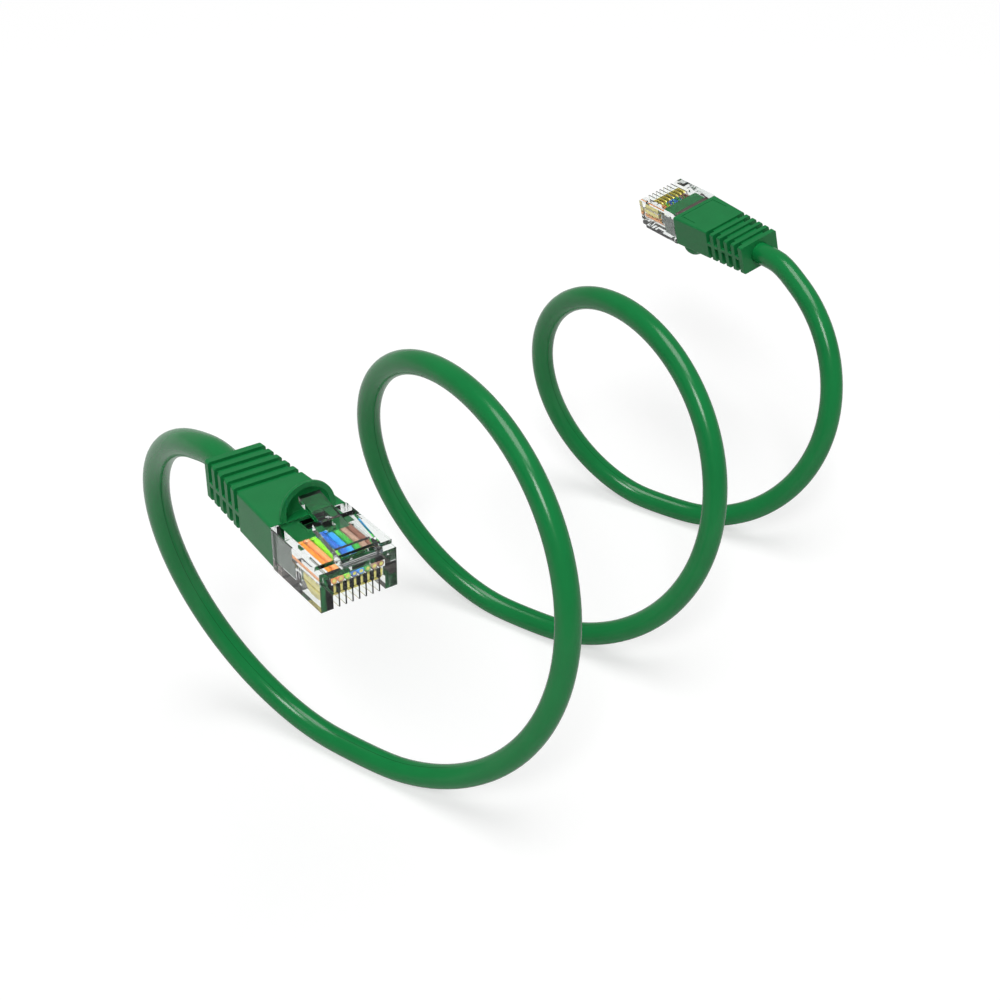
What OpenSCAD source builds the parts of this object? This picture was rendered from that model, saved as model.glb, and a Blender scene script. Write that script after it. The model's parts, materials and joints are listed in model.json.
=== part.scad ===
// Ethernet patch cable. A round cord stands on edge as an open spiral of three
// turns that narrow towards the far end, and carries at each end a clear
// 8-position plug with a moulded boot. Millimetres, +Z up. The spiral runs
// along +X and its three loop bottoms rest on the plane Z = 0, under the
// middle of the whole cable's box.
// A plug has a frame of its own: the nose face at x = 0 looks along +x, the
// boot and cord lie at negative x, and the latch is on the +z side.

/* [Cord] */
// Outer diameter of the jacket
cord_d = 4.5; // [4.4:0.05:4.7]
// Diameter of one insulated wire
wire_d = 0.9; // [0.8:0.01:0.91]

/* [Spiral] */
// Radius of the cord's centre line at the wide, near end
wide_r = 38.9; // [36:0.1:42]
// Radius of the centre line at the narrow, far end
narrow_r = 25.9; // [24:0.1:28]
// Advance of one turn along the spiral's axis
turn_pitch = 46.45; // [42:0.05:52]
// Angle past the top of the first loop at which the cord meets the near boot
near_end_angle = 4; // [2:0.5:6]
// Angle past the top of the last loop at which the cord meets the far boot
far_end_angle = 5.5; // [3:0.5:7]

/* [Plug housing] */
// Width of the housing
plug_w = 11.68; // [11.58:0.01:11.78]
// Height of the housing
plug_h = 6.6; // [6.5:0.05:6.7]
// Length from the nose face to the rear of the neck
plug_len = 19.5; // [18:0.1:20.5]
// Distance between neighbouring contacts
pin_pitch = 1.02; // [1:0.01:1.04]
// Width of the open slot over each contact
slot_w = 0.8; // [0.6:0.05:0.84]

/* [Contacts] */
// Thickness of a contact blade
contact_t = 0.35; // [0.25:0.01:0.36]
// Distance of the contact's flat edge below the plug's axis
contact_drop = 2.7; // [2.6:0.05:2.8]

/* [Latch] */
// Width of the latch in front of its shoulders
latch_w = 6.1; // [5.8:0.1:6.2]
// Width of the latch's handle
handle_w = 3.2; // [2.6:0.1:3.2]
// Distance of the handle's tip behind the nose face
handle_reach = 12.3; // [11.5:0.1:12.5]

/* [Boot] */
// Length of the boot
boot_len = 22; // [21.5:0.1:24]
// Width of the boot at the housing
boot_w = 11.66; // [11.5:0.02:11.7]
// Width of the boot where the cord leaves it
boot_rear_w = 9.26; // [8.6:0.02:9.8]
// Height of the boot at the housing
boot_h = 6.76; // [6.7:0.02:6.9]
// Height of the boot where the cord leaves it
boot_rear_h = 6.34; // [6.1:0.02:6.6]
// Distance from one rib to the next
rib_pitch = 2.21; // [2.1:0.01:2.25]
// Width of the groove between two ribs
groove_w = 1.2; // [0.9:0.01:1.25]

/* [Hidden] */
$fn = 64;
near = 0;
far = 1;
pins = [1 : 8];

fit = 0.05;            // gap of parts moulded round each other
overshoot = 1;         // how far a cutting shape runs past a face

// ---- Spiral ------------------------------------------------------------
turns = 3;
rings_per_turn = 24;
ring_step = 360 / rings_per_turn;
tilt = atan((wide_r - narrow_r) / (turns * turn_pitch));
flat_depth = cord_d / 10;      // the loop bottoms are cut flat this deep

function spiral_r(angle) = wide_r - (wide_r - narrow_r) * angle / (360 * turns);

// Point of the centre line; angle 0 is the top of the first loop. The axis
// falls by the tilt, which keeps the bottoms of the narrowing loops level.
function spiral(angle) =
    let (
        along = turn_pitch * angle / 360,
        across = spiral_r(angle) * sin(angle),
        up = spiral_r(angle) * cos(angle)
    )
    [along * cos(tilt) + up * sin(tilt), across, up * cos(tilt) - along * sin(tilt)];

// ---- Vectors -----------------------------------------------------------
function unit(v) = v / norm(v);
function about_x(v, a) = [v.x, v.y * cos(a) - v.z * sin(a), v.y * sin(a) + v.z * cos(a)];
function about_y(v, a) = [v.x * cos(a) + v.z * sin(a), v.y, v.z * cos(a) - v.x * sin(a)];
function about_z(v, a) = [v.x * cos(a) - v.y * sin(a), v.x * sin(a) + v.y * cos(a), v.z];
function turned(v, a) = about_z(about_y(about_x(v, a.x), a.y), a.z);

// ---- Where the two plugs sit -------------------------------------------
boot_front = 12.7;                     // boot's front face behind the nose face
boot_back = boot_front + boot_len;     // face that the cord leaves by
plug_turn = [[-6.7, -8, -100.9], [170, 8.3, 73.7]];
cord_end = [spiral(near_end_angle), spiral(360 * turns + far_end_angle)];

function in_plug(end, x) = cord_end[end] + turned([x + boot_back, 0, 0], plug_turn[end]);

// ---- The whole cable's box, which sets the origin -----------------------
function corners_of(end) = [
    for (y = [-plug_w, plug_w] / 2, z = [-plug_h, plug_h] / 2)
        in_plug(end, 0) + turned([0, y, z], plug_turn[end])
];
box_points = concat(corners_of(near), corners_of(far));
box_x = [min([for (p = box_points) p.x]), max([for (p = box_points) p.x])];
widest_y = [spiral(270).y - cord_d / 2, spiral(90).y + cord_d / 2];
box_y = [
    min([widest_y[0], for (p = box_points) p.y]),
    max([widest_y[1], for (p = box_points) p.y])
];
foot_angle = 540 - ring_step / 2;      // a ring beside the middle loop's bottom
floor_z = spiral(foot_angle).z - cord_d / 2 + flat_depth;
origin = [(box_x[0] + box_x[1]) / 2, (box_y[0] + box_y[1]) / 2, floor_z];

module standing() translate(-origin) children();
module at_plug(end) standing() translate(in_plug(end, 0)) rotate(plug_turn[end]) children();

// ---- Stations along the cord --------------------------------------------
// A station is [centre, side, out]: side and out are unit vectors square to
// the run, and out points away from the middle of the loop. In the near plug
// they are the plug's y and z axes; the far plug hangs upside down, so its
// z axis points the other way.
function plug_station(end, x) = [
    in_plug(end, x),
    turned([0, 1, 0], plug_turn[end]),
    turned([0, 0, end == near ? 1 : -1], plug_turn[end])
];
function spiral_station(angle) =
    let (
        run = unit(spiral(angle + 1) - spiral(angle - 1)),
        radial = about_y([0, sin(angle), cos(angle)], tilt),
        side = unit(cross(run, radial))
    )
    [spiral(angle), side, cross(side, run)];

first_ring = 1.5 * ring_step;
last_ring = 360 * turns - first_ring;
loop_stations = [for (a = [first_ring : ring_step : last_ring + fit]) spiral_station(a)];
straight_end = boot_back + cord_d;     // the cord stays straight this far back

jacket_tip = 12.4;                     // jacket's end behind the nose face
jacket_stops = [jacket_tip, straight_end];
jacket_stations = concat(
    [for (x = jacket_stops) plug_station(near, -x)],
    loop_stations,
    [for (i = [len(jacket_stops) - 1 : -1 : 0]) plug_station(far, -jacket_stops[i])]);

// ---- Least gap between two turns of the cord ----------------------------
loop_centres = [for (s = loop_stations) s[0]];
gaps = [
    for (i = [0 : len(loop_centres) - 1], j = [i + rings_per_turn / 2 : len(loop_centres) - 1])
        norm(loop_centres[i] - loop_centres[j]) - cord_d
];
echo(least_gap_of_the_cord_to_itself = min(gaps));

// ---- Tubes --------------------------------------------------------------
function ring(station, outline) = [
    for (p = outline) station[0] + p.x * station[1] + p.y * station[2]
];
function round_outline(r, sides, start = 0, middle = [0, 0]) = [
    for (i = [0 : sides - 1])
        middle + r * [sin(start + i * 360 / sides), cos(start + i * 360 / sides)]
];
function on_floor(points) = [for (p = points) [p.x, p.y, max(p.z, floor_z)]];
function joined(lists) = [for (list = lists) each list];

// Two triangles for each side of each length of tube; points are numbered
// ring by ring from the given first one
function wall(rings, sides, first = 0) = [
    for (i = [0 : rings - 2], j = [0 : sides - 1])
        let (
            a = first + i * sides + j,
            b = first + i * sides + (j + 1) % sides
        )
        each [[a, b, a + sides], [b, b + sides, a + sides]]
];
function cap(sides, first) = [for (j = [1 : sides - 2]) [first, first + j + 1, first + j]];
function reversed(faces) = [for (f = faces) [f[2], f[1], f[0]]];

// ---- Jacket -------------------------------------------------------------
outer_sides = 12;
bore_sides = 6;
wire_gap = 0.02;                       // between neighbouring wires
bundle_r = (wire_d + wire_gap) / 2 / sin(180 / 7);     // seven wires round one
bore_r = (bundle_r + wire_d / 2 + fit) / cos(180 / bore_sides);

// Ring-shaped end: each side of the bore faces two sides of the outside
function ring_cap(outer_first, bore_first) = [
    for (k = [0 : bore_sides - 1])
        let (
            o0 = outer_first + (2 * k + 1) % outer_sides,
            o1 = outer_first + (2 * k + 2) % outer_sides,
            o2 = outer_first + (2 * k + 3) % outer_sides,
            b0 = bore_first + k,
            b1 = bore_first + (k + 1) % bore_sides
        )
        each [[b0, o1, o0], [b0, b1, o1], [b1, o2, o1]]
];

module cable_jacket() {
    rings = len(jacket_stations);
    outside = joined([
        for (s = jacket_stations) on_floor(ring(s, round_outline(cord_d / 2, outer_sides)))
    ]);
    bore = joined([
        for (s = jacket_stations) ring(s, round_outline(bore_r, bore_sides, 180 / bore_sides))
    ]);
    bore_first = len(outside);
    color([0.16, 0.47, 0.27])
        standing()
            polyhedron(
                concat(outside, bore),
                concat(
                    wall(rings, outer_sides),
                    reversed(wall(rings, bore_sides, bore_first)),
                    ring_cap(0, bore_first),
                    reversed(ring_cap(
                        (rings - 1) * outer_sides,
                        bore_first + (rings - 1) * bore_sides))));
}

// ---- Wires --------------------------------------------------------------
wire_sides = 5;
row_z = 0.8;                           // height of the wires' row in a plug
wire_tip = 0.3;                        // wires end this far behind the nose
row_start = 8.1;                       // from here forward they lie in a row
spread_start = 10.1;                   // and from here they are spread out
middle_wire = -1;
bundle_turn = 13;
// Which of the bundle's seven places each pin's wire takes, from side to side
bundle_place = [3, 4, 2, middle_wire, 5, 1, 6, 0];
wire_colours = [
    [1, 0.59, 0.24], [1, 0.65, 0.43], [0.59, 0.9, 0.24], [0.27, 0.47, 0.84],
    [0.29, 0.67, 1], [0.29, 0.71, 0.29], [0.78, 0.59, 0.53], [0.59, 0.37, 0.31]
];

function pin_y(pin) = (pin - 4.5) * pin_pitch;
function bundled(pin) =
    let (place = bundle_place[pin - 1], angle = bundle_turn + place * 360 / 7)
    place == middle_wire ? [0, 0] : bundle_r * [cos(angle), sin(angle)];

// Station and middle of the wire on it, from a plug's nose back to the cord
function wire_run(end, pin) =
    let (row_out = end == near ? row_z : -row_z)
    [
        [plug_station(end, -wire_tip), [pin_y(pin), row_out]],
        [plug_station(end, -row_start), [pin_y(pin), row_out]],
        [plug_station(end, -spread_start), [pin_y(pin), bundled(pin).y]],
        for (x = jacket_stops) [plug_station(end, -x), bundled(pin)]
    ];

module wire(pin) {
    near_run = wire_run(near, pin);
    far_run = wire_run(far, pin);
    run = concat(
        near_run,
        [for (s = loop_stations) [s, bundled(pin)]],
        [for (i = [len(far_run) - 1 : -1 : 0]) far_run[i]]);
    color(wire_colours[pin - 1])
        standing()
            polyhedron(
                joined([
                    for (stop = run)
                        ring(stop[0], round_outline(wire_d / 2, wire_sides, 0, stop[1]))
                ]),
                concat(
                    wall(len(run), wire_sides),
                    cap(wire_sides, 0),
                    reversed(cap(wire_sides, (len(run) - 1) * wire_sides))));
}

// ---- Helpers in a plug's frame ------------------------------------------
// A side view in x and z, made w wide about the plug's middle
module side_view(w) rotate([90, 0, 0]) linear_extrude(w, center = true) children();
// A block between two x places, w wide, between two z places
module block(x0, x1, w, z0, z1) translate([x0, -w / 2, z0]) cube([x1 - x0, w, z1 - z0]);

// ---- Plug housing -------------------------------------------------------
half_h = plug_h / 2;
step_drop = 0.65;                      // step over the nose
step_back = 1.1;
neck_w = 9.9;                          // neck that the boot is moulded round
neck_h = 5.7;
cavity_w = 8.8;                        // rear cavity, open at the neck
cavity_h = 4.6;
cavity_front = 8;
lip_front = 7.3;                       // the mould's lip below the wires' row
lip_top = 0.25;
nose_wall = 0.25;                      // wall left in front of the wires
row_room = 1.02;                       // height of the wires' row cavity
slot_back = 6;
slot_top = 0.95;                       // slots stop this far below the axis
slit_w = contact_t + 0.02;
clamp_front = 11.5;                    // pocket of the pressed-in cord clamp
clamp_back = 12.5;
clamp_w = 8.4;
clamp_deep = 0.75;
window_front = 9.4;                    // window under the latch's handle
window_back = 12.2;
window_w = 3.9;
root_w = 5.3;                          // round bar under the latch, in a trough
barrel_r = 1.1;
barrel_x = -0.6;
barrel_z = 3.8;
trough_r = barrel_r + 0.1;

module contact_slot(pin) {
    translate([0, pin_y(pin), 0]) {
        block(-slot_back, overshoot, slot_w, -half_h - overshoot, -slot_top - slot_w / 2);
        translate([-slot_back, 0, -slot_top - slot_w / 2])
            rotate([0, 90, 0])
                cylinder(h = slot_back + overshoot, d = slot_w);
        block(-slot_back, -nose_wall, slit_w, -slot_top - slot_w / 2, row_z);
    }
}

module housing() {
    color([0.85, 0.9, 0.88, 0.4])
        difference() {
            union() {
                side_view(plug_w)
                    polygon([
                        [0, -half_h], [0, half_h - step_drop],
                        [-step_back, half_h - step_drop], [-step_back, half_h],
                        [-boot_front, half_h], [-boot_front, -half_h]
                    ]);
                block(-plug_len, -boot_front, neck_w, -neck_h / 2, neck_h / 2);
            }
            block(-plug_len - overshoot, -cavity_front, cavity_w, -cavity_h / 2, cavity_h / 2);
            block(-cavity_front - fit, -lip_front + fit, cavity_w, -cavity_h / 2, lip_top + fit);
            block(-cavity_front - fit, -nose_wall, 8 * pin_pitch,
                row_z - row_room / 2, row_z + row_room / 2);
            for (pin = pins) contact_slot(pin);
            block(-clamp_back, -clamp_front, clamp_w, -half_h - overshoot, clamp_deep - half_h);
            block(-window_back, -window_front, window_w, 0, half_h + overshoot);
            translate([barrel_x, 0, barrel_z])
                rotate([90, 0, 0])
                    cylinder(h = root_w + 0.2, r = trough_r, center = true);
        }
}

// ---- Inner mould --------------------------------------------------------
mould_w = cavity_w - 2 * fit;
mould_h = cavity_h - 2 * fit;
tip_room = 0.1;
pocket_deep = 0.6;                     // the window goes on into the mould

// Way for the wires, from the round bundle to the flat row
module wire_way() {
    sliver = 0.02;
    hull() {
        translate([-jacket_tip - tip_room, 0, 0])
            rotate([0, 90, 0])
                cylinder(h = sliver, r = bundle_r + wire_d / 2 + fit, $fn = 32);
        block(-spread_start, -spread_start + sliver, 8 * pin_pitch,
            -bundle_r - wire_d / 2 - fit, bundle_r + wire_d / 2 + fit);
        block(-row_start, -row_start + overshoot, 8 * pin_pitch,
            row_z - row_room / 2, row_z + row_room / 2);
    }
}

module inner_mould() {
    color([0.14, 0.45, 0.26])
        difference() {
            union() {
                block(-plug_len, -row_start, mould_w, -mould_h / 2, mould_h / 2);
                block(-row_start, -lip_front, mould_w, -mould_h / 2, lip_top);
            }
            translate([-plug_len - overshoot, 0, 0])
                rotate([0, 90, 0])
                    cylinder(
                        h = plug_len - jacket_tip + overshoot + tip_room - fit,
                        r = cord_d / 2 + fit);
            wire_way();
            block(-window_back, -window_front, window_w,
                mould_h / 2 - pocket_deep, mould_h / 2 + overshoot);
        }
}

// ---- Contacts -----------------------------------------------------------
contact_front = 0.3;
contact_back = 5.5;
contact_top = 0.1;                     // blade's upper edge, below the axis
nose_r = 2.3;                          // round front corner of the blade
heel_r = 1.8;                          // round rear corner
tooth_tips = [1.3, 2.5, 3.7];          // teeth that pierce the wire
tooth_w = 0.6;
tooth_top = row_z + 0.15;

// Round lower corner of the blade, on a circle about the given x
module blade_corner(x, r)
    intersection() {
        translate([x, r - contact_drop])
            circle(r = r);
        translate([-contact_back, -contact_drop])
            square([contact_back, contact_drop - contact_top]);
    }

module contact(pin) {
    nose_x = -contact_front - nose_r;
    heel_x = -contact_back + heel_r;
    color([0.86, 0.7, 0.3])
        translate([0, pin_y(pin), 0])
            side_view(contact_t) {
                blade_corner(nose_x, nose_r);
                blade_corner(heel_x, heel_r);
                translate([heel_x, -contact_drop])
                    square([nose_x - heel_x, contact_drop - contact_top]);
                translate([-contact_back, heel_r - contact_drop])
                    square([heel_r, contact_drop - heel_r - contact_top]);
                for (x = tooth_tips)
                    polygon([
                        [-x - tooth_w / 2, -contact_top - fit], [-x + tooth_w / 2, -contact_top - fit],
                        [-x, tooth_top]
                    ]);
            }
}

// ---- Latch --------------------------------------------------------------
shoulder_x = -6.2;                     // catch faces that lock in a jack
module latch() {
    color([0.85, 0.9, 0.88, 0.4]) {
        translate([barrel_x, 0, barrel_z])
            rotate([90, 0, 0])
                cylinder(h = root_w, r = barrel_r, center = true);
        side_view(latch_w)
            polygon([
                [-1, 3], [-1.16, 4.05], [shoulder_x, 5.1], [shoulder_x, 6.2], [-0.65, 4.95],
                [0.4, 4.8], [0.8, 4.62], [1.08, 4.28], [1.25, 3.7], [1.25, 3.15], [1, 3]
            ]);
        side_view(handle_w)
            polygon([
                [-4.5, 5.35], [-7, 5.75], [-handle_reach, 6.9],
                [-handle_reach, 5.95], [-7, 4.85], [-4.5, 4.75]
            ]);
    }
}

// ---- Boot ---------------------------------------------------------------
grooves = 5;
groove_deep = 0.5;
rear_rib = 1.18;                       // width of the last rib
first_groove = boot_back - rear_rib;
bridge_h = 0.65;                       // uncut web on each side of the boot
bridge_z = -0.35;
side_slot_deep = 1.9;                  // the slots under the web are deeper
edge_r = 0.45;
hood_r = 4.17;
hood_bore_r = 3.38;
hood_z = 4.17;
hood_straight = 0.45;                  // round part in front of the dome
hood_dome = 2.3;                       // depth of the shallow dome
hood_bore_dome = 1.6;                  // depth of its inside
hood_floor_z = 3.2;
line_w = 0.25;                         // fine line sunk in the contact side
line_deep = 0.15;

// End face of the boot's body with rounded corners
module boot_section(x, w, h) {
    for (y = [-1, 1] * (w / 2 - edge_r), z = [-1, 1] * (h / 2 - edge_r))
        translate([x, y, z])
            rotate([0, 90, 0])
                cylinder(h = 0.02, r = edge_r, $fn = 32);
}

module boot_body()
    hull() {
        boot_section(-boot_front - 0.02, boot_w, boot_h);
        boot_section(-boot_back, boot_rear_w, boot_rear_h);
    }

// Width and height of the body at a distance behind the nose face
function boot_w_at(x) = boot_w + (boot_rear_w - boot_w) * (x - boot_front) / boot_len;
function boot_h_at(x) = boot_h + (boot_rear_h - boot_h) * (x - boot_front) / boot_len;

// A cross-section in y and z, drawn out forward from x
module section_at(x, length)
    translate([x, 0, 0])
        rotate([90, 0, 90])
            linear_extrude(length)
                children();

// What is cut away between two ribs: everything outside a core that keeps a
// web on each side and has deeper slots below the webs
module groove(x) {
    w = boot_w_at(x);
    h = boot_h_at(x);
    core_y = w / 2 - groove_deep;
    slot_y = w / 2 - side_slot_deep;
    core_z = h / 2 - groove_deep;
    web_y = w / 2 + 2 * overshoot;
    web_top = bridge_z + bridge_h / 2;
    web_bottom = bridge_z - bridge_h / 2;
    section_at(-x, groove_w)
        difference() {
            square([w + 2 * overshoot, h + 2 * overshoot], center = true);
            polygon([
                [core_y, core_z], [core_y, web_top], [web_y, web_top], [web_y, web_bottom],
                [slot_y, web_bottom], [slot_y, -core_z], [-slot_y, -core_z], [-slot_y, web_bottom],
                [-web_y, web_bottom], [-web_y, web_top], [-core_y, web_top], [-core_y, core_z]
            ]);
        }
}

// Round bar along the plug that ends at the rear in a shallow dome
module hood_form(r, dome, front) {
    ball_r = (r * r + dome * dome) / (2 * dome);
    back = -boot_front - hood_straight;
    translate([0, 0, hood_z])
        intersection() {
            translate([back - dome - overshoot, 0, 0])
                rotate([0, 90, 0])
                    cylinder(h = dome + overshoot + hood_straight + front, r = r);
            translate([back - dome + ball_r, 0, 0])
                sphere(r = ball_r);
        }
}

// Three sides of a rectangle, open to the rear
module sunk_line() {
    front = -boot_front - 1;
    back = -boot_front - 5.9;
    out = 4.4;
    translate([0, 0, -boot_h / 2 - overshoot])
        linear_extrude(overshoot + line_deep)
            polygon([
                [back, -out], [front, -out], [front, out], [back, out],
                [back, out - line_w], [front - line_w, out - line_w],
                [front - line_w, line_w - out], [back, line_w - out]
            ]);
}

module boot() {
    color([0.2, 0.5, 0.3])
        difference() {
            union() {
                boot_body();
                hood_form(hood_r, hood_dome, 0);
            }
            intersection() {
                hood_form(hood_bore_r, hood_bore_dome, overshoot);
                block(-boot_back, 0, boot_w, hood_floor_z, 2 * boot_h);
            }
            block(-plug_len - fit, -boot_front + overshoot, neck_w + 2 * fit,
                -neck_h / 2 - fit, neck_h / 2 + fit);
            translate([-boot_back - overshoot, 0, 0])
                rotate([0, 90, 0])
                    cylinder(h = boot_len + overshoot, r = cord_d / 2 + fit);
            for (i = [0 : grooves - 1]) groove(first_groove - i * rib_pitch);
            sunk_line();
        }
}

// ---- Drawing ------------------------------------------------------------
cable_jacket();
for (pin = pins) wire(pin);
at_plug(near) housing();  // near_plug_housing
at_plug(near) latch();  // near_latch
at_plug(near) boot();  // near_boot
at_plug(near) inner_mould();  // near_inner_mould
for (pin = pins) at_plug(near) contact(pin);
at_plug(far) housing();  // far_plug_housing
at_plug(far) latch();  // far_latch
at_plug(far) boot();  // far_boot
at_plug(far) inner_mould();  // far_inner_mould
for (pin = pins) at_plug(far) contact(pin);
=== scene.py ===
"""Ethernet patch cable: a cord in an open spiral, a clear plug and a moulded boot at each end."""

import json
import math

import bpy
from bpy.props import FloatProperty, FloatVectorProperty, IntProperty, PointerProperty
from mathutils import Matrix, Vector


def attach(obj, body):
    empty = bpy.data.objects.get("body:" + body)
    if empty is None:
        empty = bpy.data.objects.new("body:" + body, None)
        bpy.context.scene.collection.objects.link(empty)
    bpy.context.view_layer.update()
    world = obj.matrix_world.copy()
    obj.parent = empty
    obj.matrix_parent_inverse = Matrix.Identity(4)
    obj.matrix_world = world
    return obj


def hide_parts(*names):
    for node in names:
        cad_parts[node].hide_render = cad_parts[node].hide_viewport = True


bl_info = {
    "name": "Ethernet Patch Cable",
    "version": (1, 0, 0),
    "blender": (4, 5, 0),
    "location": "3D View > Sidebar > Patch Cable",
    "description": "Dresses the frame of a patch cable: cord, wires, boots, clear plugs and stage",
    "category": "Add Mesh",
}

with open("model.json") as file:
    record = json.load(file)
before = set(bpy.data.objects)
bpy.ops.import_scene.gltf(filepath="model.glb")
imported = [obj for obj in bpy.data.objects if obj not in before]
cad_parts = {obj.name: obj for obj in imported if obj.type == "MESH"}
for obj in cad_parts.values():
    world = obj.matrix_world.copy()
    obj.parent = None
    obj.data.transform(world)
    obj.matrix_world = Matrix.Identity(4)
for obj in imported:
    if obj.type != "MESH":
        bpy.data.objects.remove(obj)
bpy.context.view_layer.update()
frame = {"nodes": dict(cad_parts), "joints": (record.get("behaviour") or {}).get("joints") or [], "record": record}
MOUNTS = {m["name"]: m for m in frame["record"]["mounts"]}
HINGES = {j["name"]: j for j in frame["joints"]}
ENDS = ("near", "far")
PINS = range(1, 9)


# ---- Where the two plugs sit ----------------------------------------------
class PlugPlace:
    """A plug's own frame: x forward from the nose face, z on the latch side."""

    def __init__(self, end):
        entry = MOUNTS[f"{end}_jack_entry"]
        self.nose = Vector(entry["pos_m"])
        self.forward = Vector(entry["axis"]).normalized()
        self.side = -Vector(HINGES[f"{end}_latch_hinge"]["axis"]).normalized()
        self.up = self.forward.cross(self.side).normalized()
        self.side = self.up.cross(self.forward)

    def point(self, x, y=0.0, z=0.0):
        return self.nose + x * self.forward + y * self.side + z * self.up

    def matrix(self):
        turn = Matrix((self.forward, self.side, self.up)).transposed().to_4x4()
        return Matrix.Translation(self.nose) @ turn


PLUGS = {end: PlugPlace(end) for end in ENDS}


# ---- Sizes and colours that a user may change ------------------------------
def length(name, description, default, low, high):
    return FloatProperty(
        name=name,
        description=description,
        default=default,
        min=low,
        max=high,
        precision=5,
        unit="LENGTH",
        subtype="DISTANCE",
    )


def watts(name, description, default):
    return FloatProperty(
        name=name,
        description=description,
        default=default,
        min=0,
        max=80,
        unit="POWER",
    )


def colour(name, description, default):
    return FloatVectorProperty(
        name=name,
        description=description,
        default=default,
        size=3,
        min=0.0,
        max=1.0,
        subtype="COLOR",
    )


def srgb(r, g, b):
    """A colour given as 0 to 255 on screen, in Blender's linear values."""
    return tuple(
        c / 255 / 12.92 if c <= 10 else ((c / 255 + 0.055) / 1.055) ** 2.4
        for c in (r, g, b)
    )


class CordSizes(bpy.types.PropertyGroup):
    diameter: length("Cord diameter", "Outside of the jacket", 0.0045, 0.0044, 0.0047)
    wide_r: length("Wide loop", "Radius of the spiral at the near end", 0.0389, 0.036, 0.042)
    narrow_r: length("Narrow loop", "Radius of the spiral at the far end", 0.0259, 0.024, 0.028)
    pitch: length("Pitch", "Advance of one turn", 0.04645, 0.042, 0.052)
    end_angle: FloatProperty(
        name="End angle",
        description="Angle past the top of the first loop at which the cord meets the near boot",
        default=math.radians(4),
        min=0.0,
        max=0.2,
        subtype="ANGLE",
    )
    boot_back: length("Boot back", "Boot's rear face behind the nose face", 0.0347, 0.034, 0.036)
    jacket_tip: length("Jacket tip", "Jacket's end behind the nose face", 0.0124, 0.012, 0.013)
    floor_ease: length(
        "Floor ease", "Softness with which the cord meets the floor", 0.0008, 0.0001, 0.002
    )
    sides: IntProperty(
        name="Sides", description="Faces round the jacket", default=28, min=12, max=64
    )


class WireSizes(bpy.types.PropertyGroup):
    diameter: length("Wire diameter", "One insulated wire", 0.0009, 0.0008, 0.00091)
    core: length("Core diameter", "Bare copper in a wire", 0.00056, 0.0004, 0.0006)
    row_z: length("Row height", "Height of the wires' row in a plug", 0.0008, 0.0007, 0.0009)
    tip: length("Wire tip", "Wires end this far behind the nose", 0.0003, 0.0002, 0.0004)
    pin_pitch: length("Pin pitch", "Distance between neighbouring wires", 0.00102, 0.001, 0.00104)
    sides: IntProperty(
        name="Sides", description="Faces round a wire", default=12, min=6, max=24
    )


class BootSizes(bpy.types.PropertyGroup):
    edge: length("Edge", "Rounding of the moulded edges", 0.00016, 0.00005, 0.0004)


# Colours of the cable's own finishes, and three that are painted shade: recess, flank and clamp.
class FinishAndPaintedShadeColours(bpy.types.PropertyGroup):
    jacket: colour("Jacket", "Vinyl of the cord", srgb(16, 124, 62))
    boot: colour("Boot", "Vinyl of the boots", srgb(18, 122, 63))
    mould: colour("Inner mould", "Vinyl moulded inside the plugs", srgb(20, 96, 50))
    # Painted shade: the near-black colour of the pocket under the latch stands in for the shadow in that pocket.
    recess: colour("Recess", "Dark pocket under the latch", srgb(14, 22, 17))
    # Painted shade: the darker green of the inner moulds' side faces stands in for the shade behind the clear side
    # walls.
    flank: colour("Flank", "Shaded flanks of the inner moulds", srgb(20, 58, 34))
    # Painted shade: the opaque grey-brown of the clamp pocket's faces stands in for the shade seen in that pocket.
    clamp: colour("Clamp pocket", "Pressed-in faces of the cord clamp", srgb(138, 128, 124))
    clear: colour("Clear plastic", "Housings and latches", (0.96, 0.99, 0.975))
    gold: colour("Contacts", "Plated contacts", srgb(252, 234, 128))
    copper: colour("Cores", "Cut copper cores", srgb(255, 238, 120))
    wire_1: colour("Wire 1", "Insulation at pin 1", srgb(255, 150, 60))
    wire_2: colour("Wire 2", "Insulation at pin 2", srgb(255, 165, 110))
    wire_3: colour("Wire 3", "Insulation at pin 3", srgb(150, 230, 60))
    wire_4: colour("Wire 4", "Insulation at pin 4", srgb(60, 110, 215))
    wire_5: colour("Wire 5", "Insulation at pin 5", srgb(65, 165, 255))
    wire_6: colour("Wire 6", "Insulation at pin 6", srgb(70, 175, 70))
    wire_7: colour("Wire 7", "Insulation at pin 7", srgb(200, 150, 135))
    wire_8: colour("Wire 8", "Insulation at pin 8", srgb(150, 95, 80))


class StageSettings(bpy.types.PropertyGroup):
    lens: FloatProperty(
        name="Lens",
        description="Focal length on a 36 mm sensor",
        default=53.19,
        min=20,
        max=200,
        unit="CAMERA",
    )
    eye: FloatVectorProperty(
        name="Eye",
        description="Place of the camera",
        default=(-0.165932, -0.138857, 0.218302),
        size=3,
        subtype="TRANSLATION",
    )
    aim: FloatVectorProperty(
        name="Aim",
        description="Point that the camera looks at",
        default=(0.016604, 0.028763, 0.000396),
        size=3,
        subtype="TRANSLATION",
    )
    floor: colour("Floor", "Part of the floor that takes light and shadow", (0.45, 0.45, 0.45))
    floor_glow: FloatProperty(
        name="Floor glow", description="Even whiteness of the floor", default=0.59, min=0, max=1
    )
    overhead_power: watts("Overhead lamp", "Round soft lamp overhead", 19.6)
    side_power: watts("Side lamp", "Smaller soft lamp beside the camera", 14.8)
    fill: FloatProperty(
        name="Fill", description="Level of the even light all round", default=0.15, min=0, max=2
    )
    clear_dusk: FloatProperty(
        name="Clear dusk",
        description="Share of the sky's level that is seen through clear plastic",
        default=0.2,
        min=0,
        max=1,
    )


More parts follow.
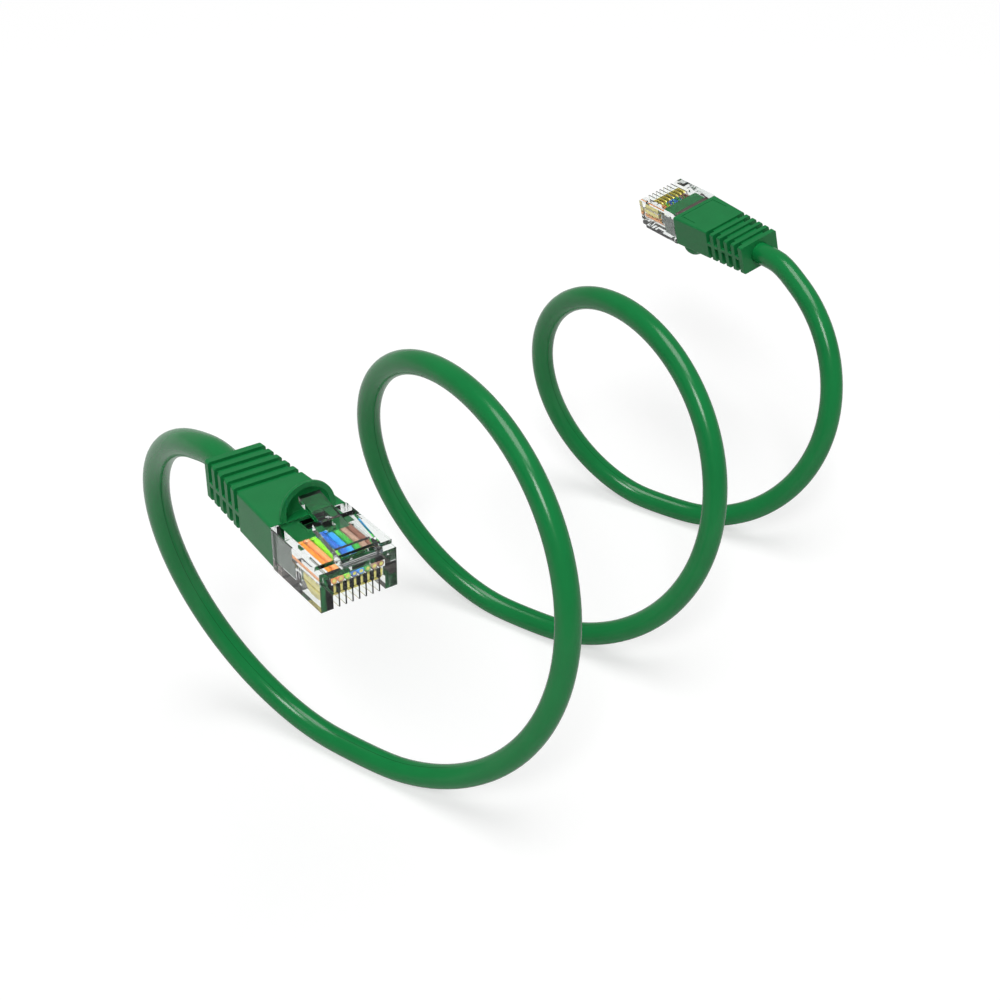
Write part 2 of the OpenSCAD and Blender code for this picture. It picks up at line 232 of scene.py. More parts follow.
# ---- Small helpers ----------------------------------------------------------
def deselect_all():
    if bpy.context.object and bpy.context.object.mode != "OBJECT":
        bpy.ops.object.mode_set(mode="OBJECT")
    bpy.ops.object.select_all(action="DESELECT")


def make_active(piece):
    deselect_all()
    piece.select_set(True)
    bpy.context.view_layer.objects.active = piece


def smooth_by_angle(piece, degrees):
    make_active(piece)
    bpy.ops.object.shade_smooth_by_angle(angle=math.radians(degrees))
    deselect_all()


def new_piece(name, points, faces, uv=None):
    """A mesh object with its place in its mesh; uv gives a pair for each corner."""
    mesh = bpy.data.meshes.new(name)
    mesh.from_pydata([tuple(p) for p in points], [], faces)
    if uv:
        layer = mesh.uv_layers.new(name="surface")
        for corner, pair in enumerate(uv):
            layer.data[corner].uv = pair
    mesh.validate()
    piece = bpy.data.objects.new(name, mesh)
    bpy.context.collection.objects.link(piece)
    return piece


def copy_of_node(node, name):
    """A merged copy of a CAD node's mesh, for shaping."""
    piece = frame["nodes"][node].copy()
    piece.data = piece.data.copy()
    piece.name = piece.data.name = name
    for key in list(piece.keys()):
        del piece[key]
    piece.parent = None
    piece.data.materials.clear()
    bpy.context.collection.objects.link(piece)
    make_active(piece)
    bpy.ops.object.mode_set(mode="EDIT")
    bpy.ops.mesh.select_all(action="SELECT")
    bpy.ops.mesh.remove_doubles(threshold=0.000002)
    bpy.ops.mesh.dissolve_limited(angle_limit=math.radians(0.5))
    bpy.ops.object.mode_set(mode="OBJECT")
    return piece


def soften_edges(piece, width, least_angle=35):
    """Rounds the sharp edges of a moulded piece and smooths what lies between them."""
    make_active(piece)
    bevel = piece.modifiers.new("moulded_edges", "BEVEL")
    bevel.width = width
    bevel.segments = 2
    bevel.limit_method = "ANGLE"
    bevel.angle_limit = math.radians(least_angle)
    bpy.ops.object.modifier_apply(modifier=bevel.name)
    bpy.ops.object.shade_smooth_by_angle(angle=math.radians(60))
    even = piece.modifiers.new("even_shading", "WEIGHTED_NORMAL")
    even.keep_sharp = True
    bpy.ops.object.modifier_apply(modifier=even.name)
    deselect_all()


def dress(piece, *materials):
    """Gives a piece its materials; the first one covers it until faces take another."""
    piece.data.materials.clear()
    for material in materials:
        piece.data.materials.append(material)


def stops_between(low, high, steps):
    """Evenly spaced values from low to high, both included."""
    return [low + (high - low) * i / steps for i in range(steps + 1)]


# ---- Material helpers ---------------------------------------------------------
NOISE_RANGE = (0.3, 0.7)  # most values of a noise pattern lie in it
WHOLE = (0.0, 1.0)
COLOUR_A, COLOUR_B, COLOUR_RESULT = 6, 7, 2  # the Mix node's sockets for colours


def grey(level):
    return (level, level, level, 1)


def material_with_nodes(name):
    material = bpy.data.materials.new(name)
    material.use_nodes = True
    nodes = material.node_tree.nodes
    return material, nodes, material.node_tree.links, nodes["Principled BSDF"]


def object_place(nodes):
    return nodes.new("ShaderNodeTexCoord").outputs["Object"]


def noise(nodes, links, vector, scale, detail=2.0, roughness=0.5):
    texture = nodes.new("ShaderNodeTexNoise")
    texture.inputs["Scale"].default_value = scale
    texture.inputs["Detail"].default_value = detail
    texture.inputs["Roughness"].default_value = roughness
    links.new(vector, texture.inputs["Vector"])
    return texture.outputs["Fac"]


def remap(nodes, links, value, source, target):
    """The value, moved from the source range to the target range."""
    node = nodes.new("ShaderNodeMapRange")
    for side, (low, high) in (("From", source), ("To", target)):
        node.inputs[f"{side} Min"].default_value = low
        node.inputs[f"{side} Max"].default_value = high
    links.new(value, node.inputs["Value"])
    return node.outputs["Result"]


def mixed(nodes, links, factor, first, second):
    node = nodes.new("ShaderNodeMix")
    node.data_type = "RGBA"
    links.new(factor, node.inputs["Factor"])
    for socket, value in ((COLOUR_A, first), (COLOUR_B, second)):
        if isinstance(value, (tuple, list)):
            node.inputs[socket].default_value = (*value, 1.0)
        else:
            links.new(value, node.inputs[socket])
    return node.outputs[COLOUR_RESULT]


def largest(nodes, links, first, second):
    node = nodes.new("ShaderNodeMath")
    node.operation = "MAXIMUM"
    links.new(first, node.inputs[0])
    links.new(second, node.inputs[1])
    return node.outputs["Value"]


def shade(rgb, k):
    """The same colour, lighter or darker."""
    return tuple(min(1.0, c * k) for c in rgb)


def varied(nodes, links, pattern, rgb, dark, light, source=NOISE_RANGE):
    """A colour that wanders with a pattern between a darker and a lighter shade."""
    share = remap(nodes, links, pattern, source, WHOLE)
    return mixed(nodes, links, share, shade(rgb, dark), shade(rgb, light))


def bumped(nodes, links, height, distance):
    bump = nodes.new("ShaderNodeBump")
    bump.inputs["Distance"].default_value = distance
    links.new(height, bump.inputs["Height"])
    return bump.outputs["Normal"]


# ---- Materials ------------------------------------------------------------------
VINYL_IOR = 1.4
PLASTIC_IOR = 1.5
COAT_IOR = 1.7
STREAK_STRETCH = (0.06, 1.0, 1.0)  # draws the streaks out along the cord
DARK_LINE_AROUND = 0.0076  # way round the jacket from its outermost line to a thin dark line
DARK_LINE_HALF = 0.00005  # half the dark line's width
DARK_LINE_SHARE = 0.7  # how far the dark line's tone replaces the jacket's


def jacket_vinyl(rgb):
    """Drawn vinyl: fine streaks and a thin dark line along the cord, faint cloudiness and a soft skin."""
    material, nodes, links, vinyl = material_with_nodes("jacket_vinyl")
    uv = nodes.new("ShaderNodeUVMap")
    uv.uv_map = "surface"
    stretch = nodes.new("ShaderNodeMapping")
    stretch.inputs["Scale"].default_value = STREAK_STRETCH
    links.new(uv.outputs["UV"], stretch.inputs["Vector"])
    place = object_place(nodes)
    streaks = noise(nodes, links, stretch.outputs["Vector"], scale=9000)
    clouds = noise(nodes, links, place, scale=120)
    skin = noise(nodes, links, place, scale=2600)
    tone = varied(nodes, links, clouds, rgb, dark=0.94, light=1.06)
    streaked = remap(nodes, links, streaks, (0.35, 0.75), (0.0, 0.35))
    tone = mixed(nodes, links, streaked, tone, shade(rgb, 1.15))
    # A thin dark line along the cord, on the loops' inner side.
    around = nodes.new("ShaderNodeSeparateXYZ")
    links.new(uv.outputs["UV"], around.inputs["Vector"])
    on_dark_line = nodes.new("ShaderNodeMath")
    on_dark_line.operation = "COMPARE"
    on_dark_line.inputs[1].default_value = DARK_LINE_AROUND
    on_dark_line.inputs[2].default_value = DARK_LINE_HALF
    links.new(around.outputs["Y"], on_dark_line.inputs[0])
    dark_line = remap(nodes, links, on_dark_line.outputs["Value"], WHOLE, (0.0, DARK_LINE_SHARE))
    tone = mixed(nodes, links, dark_line, tone, shade(rgb, 0.3))
    links.new(tone, vinyl.inputs["Base Color"])
    links.new(remap(nodes, links, streaks, NOISE_RANGE, (0.17, 0.24)), vinyl.inputs["Roughness"])
    links.new(bumped(nodes, links, skin, distance=0.000004), vinyl.inputs["Normal"])
    vinyl.inputs["IOR"].default_value = VINYL_IOR
    return material


def boot_vinyl(name, rgb):
    """Moulded vinyl: an even satin grain and faint cloudiness; it also carries the colours of painted shade."""
    material, nodes, links, vinyl = material_with_nodes(name)
    place = object_place(nodes)
    grain = noise(nodes, links, place, scale=5200, detail=3)
    clouds = noise(nodes, links, place, scale=260)
    tone = varied(nodes, links, clouds, rgb, dark=0.95, light=1.05)
    links.new(tone, vinyl.inputs["Base Color"])
    links.new(remap(nodes, links, grain, NOISE_RANGE, (0.34, 0.44)), vinyl.inputs["Roughness"])
    links.new(bumped(nodes, links, grain, distance=0.000006), vinyl.inputs["Normal"])
    vinyl.inputs["IOR"].default_value = VINYL_IOR
    return material


def clear_plastic(name, rgb, polish):
    """Clear moulded plastic that lets lamps through, with faint flow lines."""
    material, nodes, links, clear = material_with_nodes(name)
    clear.inputs["Coat Weight"].default_value = polish
    clear.inputs["Coat IOR"].default_value = COAT_IOR
    flow = noise(nodes, links, object_place(nodes), scale=420)
    clear.inputs["Base Color"].default_value = (*rgb, 1)
    clear.inputs["Transmission Weight"].default_value = 1.0
    clear.inputs["IOR"].default_value = PLASTIC_IOR
    links.new(remap(nodes, links, flow, NOISE_RANGE, (0.015, 0.05)), clear.inputs["Roughness"])
    links.new(bumped(nodes, links, flow, distance=0.00001), clear.inputs["Normal"])
    see_through = nodes.new("ShaderNodeBsdfTransparent")
    see_through.inputs["Color"].default_value = (*rgb, 1)
    path = nodes.new("ShaderNodeLightPath")
    either = nodes.new("ShaderNodeMixShader")
    links.new(path.outputs["Is Shadow Ray"], either.inputs["Fac"])
    links.new(clear.outputs["BSDF"], either.inputs[1])
    links.new(see_through.outputs["BSDF"], either.inputs[2])
    links.new(either.outputs["Shader"], nodes["Material Output"].inputs["Surface"])
    return material


def metal(name, rgb, rough, metallic):
    """Plated or cut metal with fine rubbed marks."""
    material, nodes, links, bare = material_with_nodes(name)
    rubbed = noise(nodes, links, object_place(nodes), scale=3000, detail=4, roughness=0.6)
    bare.inputs["Metallic"].default_value = metallic
    tone = varied(nodes, links, rubbed, rgb, dark=0.85, light=1.05, source=(0.35, 0.65))
    links.new(tone, bare.inputs["Base Color"])
    dull = remap(nodes, links, rubbed, NOISE_RANGE, (rough - 0.06, rough + 0.1))
    links.new(dull, bare.inputs["Roughness"])
    return material


def wire_insulation(pin, rgb):
    """Thin coloured insulation, a little uneven along the wire."""
    material, nodes, links, skin = material_with_nodes(f"insulation_{pin}")
    patches = noise(nodes, links, object_place(nodes), scale=900)
    tone = varied(nodes, links, patches, rgb, dark=0.92, light=1.08)
    links.new(tone, skin.inputs["Base Color"])
    links.new(remap(nodes, links, patches, NOISE_RANGE, (0.3, 0.4)), skin.inputs["Roughness"])
    return material


# ---- The cord's route -----------------------------------------------------------
TURNS = 3
BLEND_ANGLE = math.radians(22.5)
FLOOR_REST = 0.92  # height at which the cord's middle rests, in its radii
STRAIGHT_STEPS = 14  # steps of the route in each plug and boot
BLEND_STEPS = 5  # steps from a boot to the loops
LOOP_STEPS = 345  # steps round the loops


def spiral(sizes, angle):
    """Point on the spiral's line; angle 0 is the top of the first loop."""
    share = angle / (2 * math.pi * TURNS)
    r = sizes.wide_r - (sizes.wide_r - sizes.narrow_r) * share
    tilt = math.atan((sizes.wide_r - sizes.narrow_r) / (TURNS * sizes.pitch))
    along = sizes.pitch * angle / (2 * math.pi)
    across, up = r * math.sin(angle), r * math.cos(angle)
    return Vector((
        along * math.cos(tilt) + up * math.sin(tilt),
        across,
        up * math.cos(tilt) - along * math.sin(tilt),
    ))


def spiral_middle(sizes, angle):
    """Point on the spiral's own axis beside the line's point."""
    tilt = math.atan((sizes.wide_r - sizes.narrow_r) / (TURNS * sizes.pitch))
    along = sizes.pitch * angle / (2 * math.pi)
    return Vector((along * math.cos(tilt), 0, -along * math.sin(tilt)))


def spiral_start(sizes):
    """Shift that puts the spiral's beginning on the near boot's rear face."""
    return PLUGS["near"].point(-sizes.boot_back) - spiral(sizes, sizes.end_angle)


def plug_station(sizes, end, x):
    """Middle of the cord x behind the nose, with the directions side and out."""
    plug = PLUGS[end]
    out = plug.up if end == "near" else -plug.up
    return plug.point(-x), plug.side, out


def spiral_station(sizes, angle):
    shift = spiral_start(sizes)
    step = math.radians(0.5)
    run = (spiral(sizes, angle + step) - spiral(sizes, angle - step)).normalized()
    radial = spiral(sizes, angle) - spiral_middle(sizes, angle)
    side = run.cross(radial).normalized()
    return spiral(sizes, angle) + shift, side, side.cross(run)


def eased_to_floor(sizes, centre):
    """Lifts the middle of the cord so that its underside settles on the floor."""
    rest = FLOOR_REST * sizes.diameter / 2
    over = centre.z - rest
    z = rest + 0.5 * (over + math.sqrt(over * over + sizes.floor_ease**2))
    return Vector((centre.x, centre.y, z))


def blend_stations(first, last, count):
    """Stations on a smooth curve between two stations, neither of them included."""
    chord = (last[0] - first[0]).length
    run_a, run_b = first[2].cross(first[1]), last[2].cross(last[1])
    made = []
    for i in range(1, count):
        t = i / count
        h00, h10 = 2 * t**3 - 3 * t**2 + 1, t**3 - 2 * t**2 + t
        h01, h11 = -2 * t**3 + 3 * t**2, t**3 - t**2
        centre = h00 * first[0] + h10 * chord * run_a + h01 * last[0] + h11 * chord * run_b
        d00, d10 = 6 * t**2 - 6 * t, 3 * t**2 - 4 * t + 1
        d01, d11 = 6 * t - 6 * t**2, 3 * t**2 - 2 * t
        run = d00 * first[0] + d10 * chord * run_a + d01 * last[0] + d11 * chord * run_b
        run.normalize()
        out = first[2].lerp(last[2], t * t * (3 - 2 * t))
        side = run.cross(out).normalized()
        made.append((centre, side, side.cross(run)))
    return made


def cord_stations(sizes):
    """Stations along the whole cord, from inside the near plug to inside the far one."""
    straight_end = sizes.boot_back + sizes.diameter
    straight = stops_between(sizes.jacket_tip, straight_end, STRAIGHT_STEPS)
    near_run = [plug_station(sizes, "near", x) for x in straight]
    far_run = [plug_station(sizes, "far", x) for x in reversed(straight)]
    angles = stops_between(BLEND_ANGLE, 2 * math.pi * TURNS - BLEND_ANGLE, LOOP_STEPS)
    loops = [spiral_station(sizes, angle) for angle in angles]
    loops = [(eased_to_floor(sizes, c), side, out) for c, side, out in loops]
    return (
        near_run
        + blend_stations(near_run[-1], loops[0], BLEND_STEPS)
        + loops
        + blend_stations(loops[-1], far_run[0], BLEND_STEPS)
        + far_run
    )


def ring(station, r, sides, middle=(0.0, 0.0)):
    centre, side, out = station
    return [
        centre
        + (middle[0] + r * math.sin(2 * math.pi * i / sides)) * side
        + (middle[1] + r * math.cos(2 * math.pi * i / sides)) * out
        for i in range(sides)
    ]


def tube_faces(rings, sides, first=0, inside=False):
    faces = []
    for i in range(rings - 1):
        for j in range(sides):
            a, b = first + i * sides + j, first + i * sides + (j + 1) % sides
            face = (a, b, b + sides, a + sides)
            faces.append(face[::-1] if inside else face)
    return faces


def run_lengths(centres):
    total = [0.0]
    for a, b in zip(centres, centres[1:]):
        total.append(total[-1] + (b - a).length)
    return total


# ---- The stage ----------------------------------------------------------------------
FLOOR_WIDTH = 6
FLOOR_TONE = 0.68  # level of the floor for light and gloss
LAMPS = (  # name, place, width, setting with its power
    ("overhead_lamp", (0.08, 0.06, 1.86), 1.16, "overhead_power"),
    ("side_lamp", (-0.88, -0.594, 1.616), 0.636, "side_power"),
)
LAMP_AIM = Vector((0, 0, 0.04))
HORIZON, ZENITH = 0.45, 0.15  # levels of the sky that gloss and clear plastic see
SKY_LEVELS = ((0.2, 0.3), (0.6, 0.25))  # sine of the height above the horizon, level


class PATCHCABLE_OT_stage(bpy.types.Operator):
    """Pale floor, two soft lamps, surroundings and the camera"""

    bl_idname = "patchcable.stage"
    bl_label = "Stage"

    def execute(self, context):
        settings = context.scene.patchcable_stage
        bpy.data.scenes[0].view_settings.view_transform = "Standard"
        self.add_camera(context, settings)
        self.add_floor(settings)
        self.add_lamps(settings)
        self.add_surroundings(context, settings)
        return {"FINISHED"}

    def add_camera(self, context, settings):
        deselect_all()
        bpy.ops.object.camera_add(location=settings.eye)
        camera = context.object
        camera.name = "camera"
        camera.data.sensor_width = 36
        camera.data.lens = settings.lens
        camera.data.clip_start = 0.01
        look = Vector(settings.aim) - Vector(settings.eye)
        camera.rotation_euler = look.to_track_quat("-Z", "Y").to_euler()
        context.scene.camera = camera

    def add_floor(self, settings):
        deselect_all()
        bpy.ops.mesh.primitive_plane_add(size=FLOOR_WIDTH)
        floor = bpy.context.object
        floor.name = "floor"
        material = bpy.data.materials.new("pale_floor")
        material.use_nodes = True
        nodes, links = material.node_tree.nodes, material.node_tree.links
        nodes.remove(nodes["Principled BSDF"])
        matt = nodes.new("ShaderNodeBsdfDiffuse")
        matt.inputs["Color"].default_value = (*settings.floor, 1)
        glow = nodes.new("ShaderNodeEmission")
        glow.inputs["Strength"].default_value = settings.floor_glow
        path = nodes.new("ShaderNodeLightPath").outputs
        pale = nodes.new("ShaderNodeBsdfDiffuse")
        pale.inputs["Color"].default_value = grey(FLOOR_TONE)
        lit = nodes.new("ShaderNodeAddShader")
        links.new(matt.outputs["BSDF"], lit.inputs[0])
        links.new(glow.outputs["Emission"], lit.inputs[1])
        either = nodes.new("ShaderNodeMixShader")
        seen = largest(nodes, links, path["Is Camera Ray"], path["Is Transmission Ray"])
        links.new(seen, either.inputs["Fac"])
        links.new(pale.outputs["BSDF"], either.inputs[1])
        links.new(lit.outputs["Shader"], either.inputs[2])
        links.new(either.outputs["Shader"], nodes["Material Output"].inputs["Surface"])
        dress(floor, material)

    def add_lamps(self, settings):
        for name, place, across, power in LAMPS:
            deselect_all()
            bpy.ops.object.light_add(type="AREA", location=place)
            lamp = bpy.context.object
            lamp.name = name
            lamp.data.shape = "DISK"
            lamp.data.size = across
            lamp.data.energy = getattr(settings, power)
            lamp.visible_transmission = False
            down = LAMP_AIM - lamp.location
            lamp.rotation_euler = down.to_track_quat("-Z", "Y").to_euler()

    def add_surroundings(self, context, settings):
        """Even light all round; gloss and clear plastic see a bright horizon under a darker sky"""
        world = bpy.data.worlds.new("studio")
        context.scene.world = world
        world.use_nodes = True
        nodes, links = world.node_tree.nodes, world.node_tree.links
        even = nodes["Background"]
        even.inputs["Color"].default_value = grey(1)
        even.inputs["Strength"].default_value = settings.fill
        place = nodes.new("ShaderNodeTexCoord")
        split = nodes.new("ShaderNodeSeparateXYZ")
        links.new(place.outputs["Generated"], split.inputs["Vector"])
        ramp = nodes.new("ShaderNodeValToRGB")
        links.new(split.outputs["Z"], ramp.inputs["Fac"])
        stops = ramp.color_ramp.elements
        stops[0].color = grey(HORIZON)
        stops[1].color = grey(ZENITH)
        for position, level in SKY_LEVELS:
            stops.new(position).color = grey(level)
        sky = nodes.new("ShaderNodeBackground")
        links.new(ramp.outputs["Color"], sky.inputs["Color"])
        path = nodes.new("ShaderNodeLightPath").outputs
        dusk = (1.0, settings.clear_dusk)
        through = remap(nodes, links, path["Is Transmission Ray"], WHOLE, dusk)
        links.new(through, sky.inputs["Strength"])
        white = nodes.new("ShaderNodeBackground")
        white.inputs["Color"].default_value = grey(1)
        mirrored = largest(nodes, links, path["Is Glossy Ray"], path["Is Transmission Ray"])
        seen = nodes.new("ShaderNodeMixShader")
        links.new(mirrored, seen.inputs["Fac"])
        links.new(even.outputs["Background"], seen.inputs[1])
        links.new(sky.outputs["Background"], seen.inputs[2])
        either = nodes.new("ShaderNodeMixShader")
        links.new(path["Is Camera Ray"], either.inputs["Fac"])
        links.new(seen.outputs["Shader"], either.inputs[1])
        links.new(white.outputs["Background"], either.inputs[2])
        links.new(either.outputs["Shader"], nodes["World Output"].inputs["Surface"])


# ---- Boots and cord -------------------------------------------------------------------
class PATCHCABLE_OT_boots(bpy.types.Operator):
    """Ribbed strain-relief boots with the hood over the latch"""

    bl_idname = "patchcable.boots"
    bl_label = "Boots"

    def execute(self, context):
        vinyl = boot_vinyl("boot_vinyl", context.scene.patchcable_colours.boot)
        sizes = context.scene.patchcable_boot
        for end in ENDS:
            boot = copy_of_node(f"{end}_boot", f"{end}_strain_boot")
            dress(boot, vinyl)
            soften_edges(boot, sizes.edge)
            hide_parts(f"{end}_boot")
            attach(boot, "cable")
        return {"FINISHED"}


BORE_GAP = 0.00015  # room between the bundle of wires and the bore
FAR_PLUG = [f"far_{part}" for part in ("plug_housing", "latch", "inner_mould")]
FAR_PLUG += [f"far_contact_{pin}" for pin in PINS]


def bored_tube(stations, radius, bore, sides):
    """Points and faces of a tube with a bore, closed by a flat ring at each end."""
    rings, bore_sides = len(stations), sides // 2
    points = [p for s in stations for p in ring(s, radius, sides)]
    bore_first = len(points)
    points += [p for s in stations for p in ring(s, bore, bore_sides)]
    faces = tube_faces(rings, sides) + tube_faces(rings, bore_sides, bore_first, inside=True)
    for end in (0, rings - 1):
        for j in range(bore_sides):
            o = [end * sides + (2 * j + k) % sides for k in range(3)]
            b = [bore_first + end * bore_sides + (j + k) % bore_sides for k in range(2)]
            cap = (o[0], b[0], b[1], o[2], o[1])
            faces.append(cap if end == 0 else cap[::-1])
    return points, faces


def unrolled(faces, along, sides, around):
    """For each corner its way along and round the tube; the bore and the ends stay at zero."""
    uv = []
    for face in faces[: (len(along) - 1) * sides]:
        i, j = divmod(face[0], sides)
        for step, turn in ((0, 0), (0, 1), (1, 1), (1, 0)):
            uv.append((along[i + step], (j + turn) * around))
    rest = sum(len(face) for face in faces) - len(uv)
    return uv + [(0.0, 0.0)] * rest


class PATCHCABLE_OT_cord(bpy.types.Operator):
    """Round jacket along the whole route, with the bore that holds the wires"""

    bl_idname = "patchcable.cord"
    bl_label = "Cord"

    def execute(self, context):
        sizes = context.scene.patchcable_cord
        wires = context.scene.patchcable_wires
        stations = cord_stations(sizes)
        bore = bundle_radius(wires) + wires.diameter / 2 + BORE_GAP
        points, faces = bored_tube(stations, sizes.diameter / 2, bore, sizes.sides)
        centres = [s[0] for s in stations]
        along = run_lengths(centres)
        around = math.pi * sizes.diameter / sizes.sides
        jacket = new_piece("jacket", points, faces, unrolled(faces, along, sizes.sides, around))
        smooth_by_angle(jacket, 40)
        dress(jacket, jacket_vinyl(context.scene.patchcable_colours.jacket))
        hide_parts("cable_jacket")
        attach(jacket, "cable")
        on_cord = [frame["nodes"][name] for name in FAR_PLUG]
        on_cord.append(bpy.data.objects["far_strain_boot"])
        PLUGS["near"].point(-sizes.boot_back)
        return {"FINISHED"}


# ---- Wires ------------------------------------------------------------------------------
BUNDLE_PLACES = (3, 4, 2, None, 5, 1, 6, 0)  # one wire in the middle, seven round it
OUTER_WIRES = 7
BUNDLE_TURN = math.radians(13)
WIRE_GAP = 0.00002
MIDDLE_OF_PINS = 4.5
# Behind the nose face: where the flat row ends, and where the spread to the bundle runs.
ROW_END, SPREAD_START, SPREAD_END = 0.0081, 0.0101, 0.0124
ROW_STEPS, FAN_STEPS = 3, 12


def bundle_radius(wires):
    return (wires.diameter + WIRE_GAP) / 2 / math.sin(math.pi / OUTER_WIRES)


def bundled(wires, pin):
    """Where a pin's wire lies in the round bundle."""
    place = BUNDLE_PLACES[pin - 1]
    if place is None:
        return Vector((0.0, 0.0))
    angle = BUNDLE_TURN + place * 2 * math.pi / OUTER_WIRES
    return bundle_radius(wires) * Vector((math.cos(angle), math.sin(angle)))


def eased(value, low, high):
    t = min(1.0, max(0.0, (value - low) / (high - low)))
    return t * t * (3 - 2 * t)


def fanned(wires, pin, x, flip):
    """Middle of a pin's wire x behind the nose: the flat row, then the fan, then the bundle."""
    row = Vector(((pin - MIDDLE_OF_PINS) * wires.pin_pitch, wires.row_z * flip))
    bunch = bundled(wires, pin)
    return Vector((
        row.x + (bunch.x - row.x) * eased(x, SPREAD_START, SPREAD_END),
        row.y + (bunch.y - row.y) * eased(x, ROW_END, SPREAD_START),
    ))


class PATCHCABLE_OT_wires(bpy.types.Operator):
    """Eight insulated wires with copper cores, flat in the plugs and bundled in the cord"""

    bl_idname = "patchcable.wires"
    bl_label = "Wires"

    def execute(self, context):
        sizes = context.scene.patchcable_cord
        wires = context.scene.patchcable_wires
        colours = context.scene.patchcable_colours
        copper = metal("copper_core", colours.copper, 0.4, 0.5)
        inside = cord_stations(sizes)
        for pin in PINS:
            stops = []
            for end in ENDS:
                flip = 1 if end == "near" else -1
                xs = stops_between(wires.tip, ROW_END, ROW_STEPS)
                xs += stops_between(ROW_END, sizes.jacket_tip, FAN_STEPS)[1:-1]
                run = [(plug_station(sizes, end, x), fanned(wires, pin, x, flip)) for x in xs]
                stops.append(run if end == "near" else run[::-1])
            middle = [(s, bundled(wires, pin)) for s in inside[::2]]
            run = stops[0] + middle + stops[1]
            insulation = wire_insulation(pin, getattr(colours, f"wire_{pin}"))
            self.add_wire(pin, run, wires, copper, insulation)
        return {"FINISHED"}

    def add_wire(self, pin, run, wires, copper, insulation):
        sides, rings, radius = wires.sides, len(run), wires.diameter / 2
        points = [p for station, middle in run for p in ring(station, radius, sides, middle)]
        faces = tube_faces(rings, sides)
        copper_faces = []
        for end, (station, middle) in ((0, run[0]), (rings - 1, run[-1])):
            first = len(points)
            points += ring(station, wires.core / 2, sides, middle)
            for j in range(sides):
                k = (j + 1) % sides
                lip = (end * sides + j, first + j, first + k, end * sides + k)
                faces.append(lip if end == 0 else lip[::-1])
            disc = tuple(range(first, first + sides))
            copper_faces.append(disc[::-1] if end == 0 else disc)
        piece = new_piece(f"insulated_wire_{pin}", points, faces + copper_faces)
        dress(piece, insulation, copper)
        for face in piece.data.polygons[len(faces):]:
            face.material_index = 1
        smooth_by_angle(piece, 40)
        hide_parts(f"wire_{pin}")
        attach(piece, "cable")


# ---- Plugs --------------------------------------------------------------------------------
# Zones in a plug's frame: range of x, range of the distance from its middle plane, range of z.
ANYWHERE = (-1.0, 1.0)
# Clamp pocket of the clear housing, whose faces take painted shade.
PAINTED_SHADE_CLAMP_POCKET = ((-0.01252, -0.01148), (0.0, 0.00425), (-0.0032, -0.0025))
HANDLE = ((-1.0, -0.0066), (0.0, 0.0017), ANYWHERE)
# Pocket under the latch, whose faces take a painted shadow.
PAINTED_SHADE_RECESS = ((-0.01221, -0.00939), (0.0, 0.00197), (0.0015, 0.0022))
# Side faces of the inner moulds, which take painted shade.
PAINTED_SHADE_FLANKS = (ANYWHERE, (0.0042, 1.0), ANYWHERE)
# A face looks up or sideways when its normal's share in that direction is larger than this.
LOOKS_UP, LOOKS_SIDEWAYS = 0.7, 0.9


def faces_in(zone, node, end):
    """Faces of a CAD node whose middles lie in a zone of its plug's frame."""
    to_plug = PLUGS[end].matrix().inverted()
    for face in node.data.polygons:
        place = to_plug @ (node.matrix_world @ face.center)
        measured = (place.x, abs(place.y), place.z)
        if all(low <= value < high for value, (low, high) in zip(measured, zone)):
            yield face


class PATCHCABLE_OT_clear_plugs(bpy.types.Operator):
    """Clear housings and latches, with painted shade in the clamp pocket"""

    bl_idname = "patchcable.clear_plugs"
    bl_label = "Clear plugs"

    def execute(self, context):
        colours = context.scene.patchcable_colours
        clear = clear_plastic("clear_plastic", colours.clear, 0.0)
        polished = clear_plastic("polished_plastic", colours.clear, 1.0)
        painted_clamp = boot_vinyl("pressed_plastic", colours.clamp)
        for end in ENDS:
            housing, latch = (frame["nodes"][f"{end}_{part}"] for part in ("plug_housing", "latch"))
            dress(housing, clear, painted_clamp)
            # Painted shade: the clamp pocket's faces turn opaque grey-brown instead of clear.
            for face in faces_in(PAINTED_SHADE_CLAMP_POCKET, housing, end):
                face.material_index = 1
            dress(latch, clear, polished)
            for face in faces_in(HANDLE, latch, end):
                if face.normal.dot(PLUGS[end].up) > LOOKS_UP:
                    face.material_index = 1
        return {"FINISHED"}


class PATCHCABLE_OT_contacts(bpy.types.Operator):
    """Plated contacts in the open slots"""

    bl_idname = "patchcable.contacts"
    bl_label = "Contacts"

    def execute(self, context):
        gold = metal("gold_plating", context.scene.patchcable_colours.gold, 0.36, 0.65)
        for end in ENDS:
            for pin in PINS:
                dress(frame["nodes"][f"{end}_contact_{pin}"], gold)
        return {"FINISHED"}


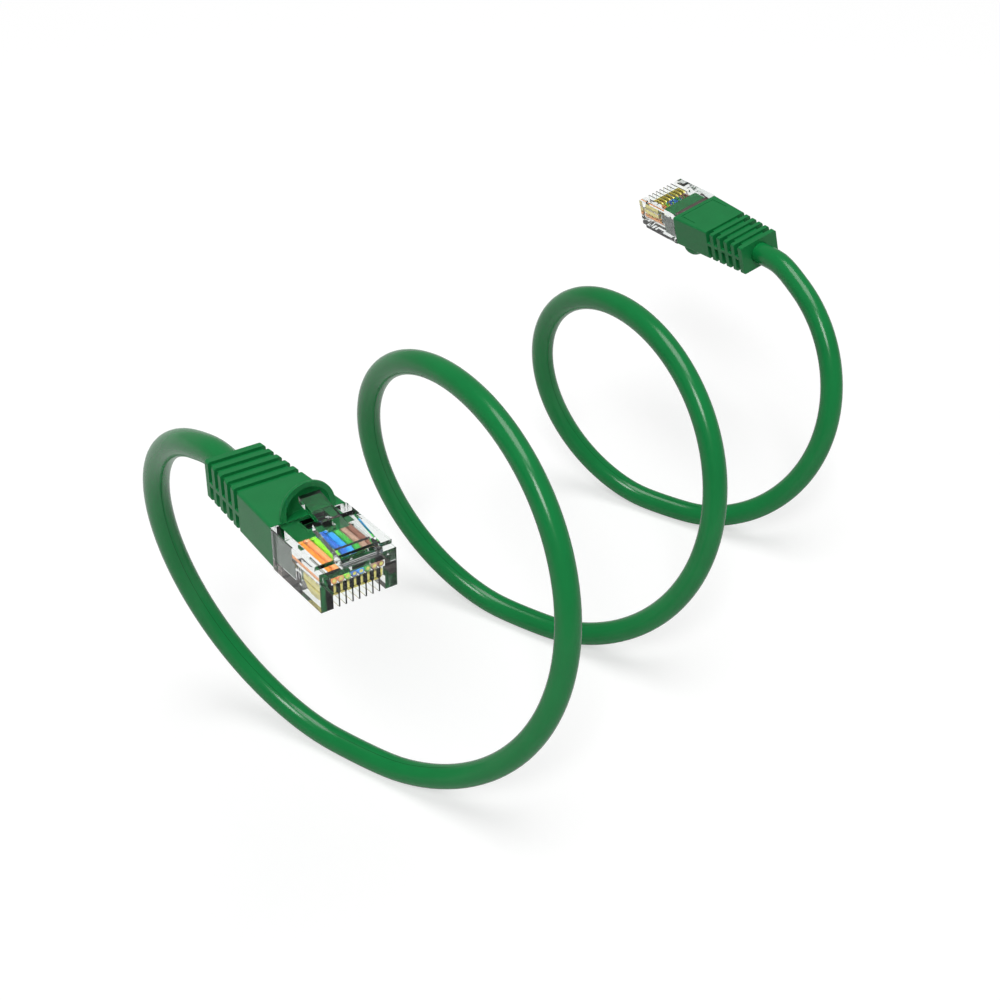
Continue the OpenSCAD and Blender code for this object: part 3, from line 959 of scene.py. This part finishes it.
class PATCHCABLE_OT_inner_moulds(bpy.types.Operator):
    """Vinyl moulded round the wires inside the plugs, with painted shade in the pocket under the latch and on the
    flanks
    """

    bl_idname = "patchcable.inner_moulds"
    bl_label = "Inner moulds"

    def execute(self, context):
        colours = context.scene.patchcable_colours
        vinyl = boot_vinyl("mould_vinyl", colours.mould)
        # Painted shade: darker colours for the pocket under the latch and for the mould's flanks.
        dark = boot_vinyl("recess_vinyl", colours.recess)
        painted_flank = boot_vinyl("flank_vinyl", colours.flank)
        for end in ENDS:
            mould = frame["nodes"][f"{end}_inner_mould"]
            dress(mould, vinyl, dark, painted_flank)
            # Painted shadow: the pocket under the latch turns near-black.
            for face in faces_in(PAINTED_SHADE_RECESS, mould, end):
                face.material_index = 1
            # Painted shade: the mould's side faces turn a darker green.
            for face in faces_in(PAINTED_SHADE_FLANKS, mould, end):
                if abs(face.normal.dot(PLUGS[end].side)) > LOOKS_SIDEWAYS:
                    face.material_index = 2
        return {"FINISHED"}


# ---- Panel and registration -------------------------------------------------------------
class PATCHCABLE_PT_panel(bpy.types.Panel):
    """Lists the steps that make the cable's pieces"""

    bl_idname = "PATCHCABLE_PT_panel"
    bl_label = "Patch Cable"
    bl_space_type = "VIEW_3D"
    bl_region_type = "UI"
    bl_category = "Patch Cable"

    def draw(self, context):
        for step in STEPS:
            self.layout.operator(step.bl_idname)


GROUPS = {
    "patchcable_cord": CordSizes,
    "patchcable_wires": WireSizes,
    "patchcable_boot": BootSizes,
    "patchcable_colours": FinishAndPaintedShadeColours,
    "patchcable_stage": StageSettings,
}
STEPS = (
    PATCHCABLE_OT_stage,
    PATCHCABLE_OT_boots,
    PATCHCABLE_OT_cord,
    PATCHCABLE_OT_wires,
    PATCHCABLE_OT_clear_plugs,
    PATCHCABLE_OT_contacts,
    PATCHCABLE_OT_inner_moulds,
)


def register():
    for cls in (*GROUPS.values(), *STEPS, PATCHCABLE_PT_panel):
        bpy.utils.register_class(cls)
    for name, cls in GROUPS.items():
        setattr(bpy.types.Scene, name, PointerProperty(type=cls))


def unregister():
    for name in GROUPS:
        delattr(bpy.types.Scene, name)
    for cls in (PATCHCABLE_PT_panel, *reversed(STEPS), *reversed(GROUPS.values())):
        bpy.utils.unregister_class(cls)


def main():
    register()
    bpy.ops.patchcable.stage()
    bpy.ops.patchcable.boots()
    bpy.ops.patchcable.cord()
    bpy.ops.patchcable.wires()
    bpy.ops.patchcable.clear_plugs()
    bpy.ops.patchcable.contacts()
    bpy.ops.patchcable.inner_moulds()


if __name__ == "__main__":
    main()
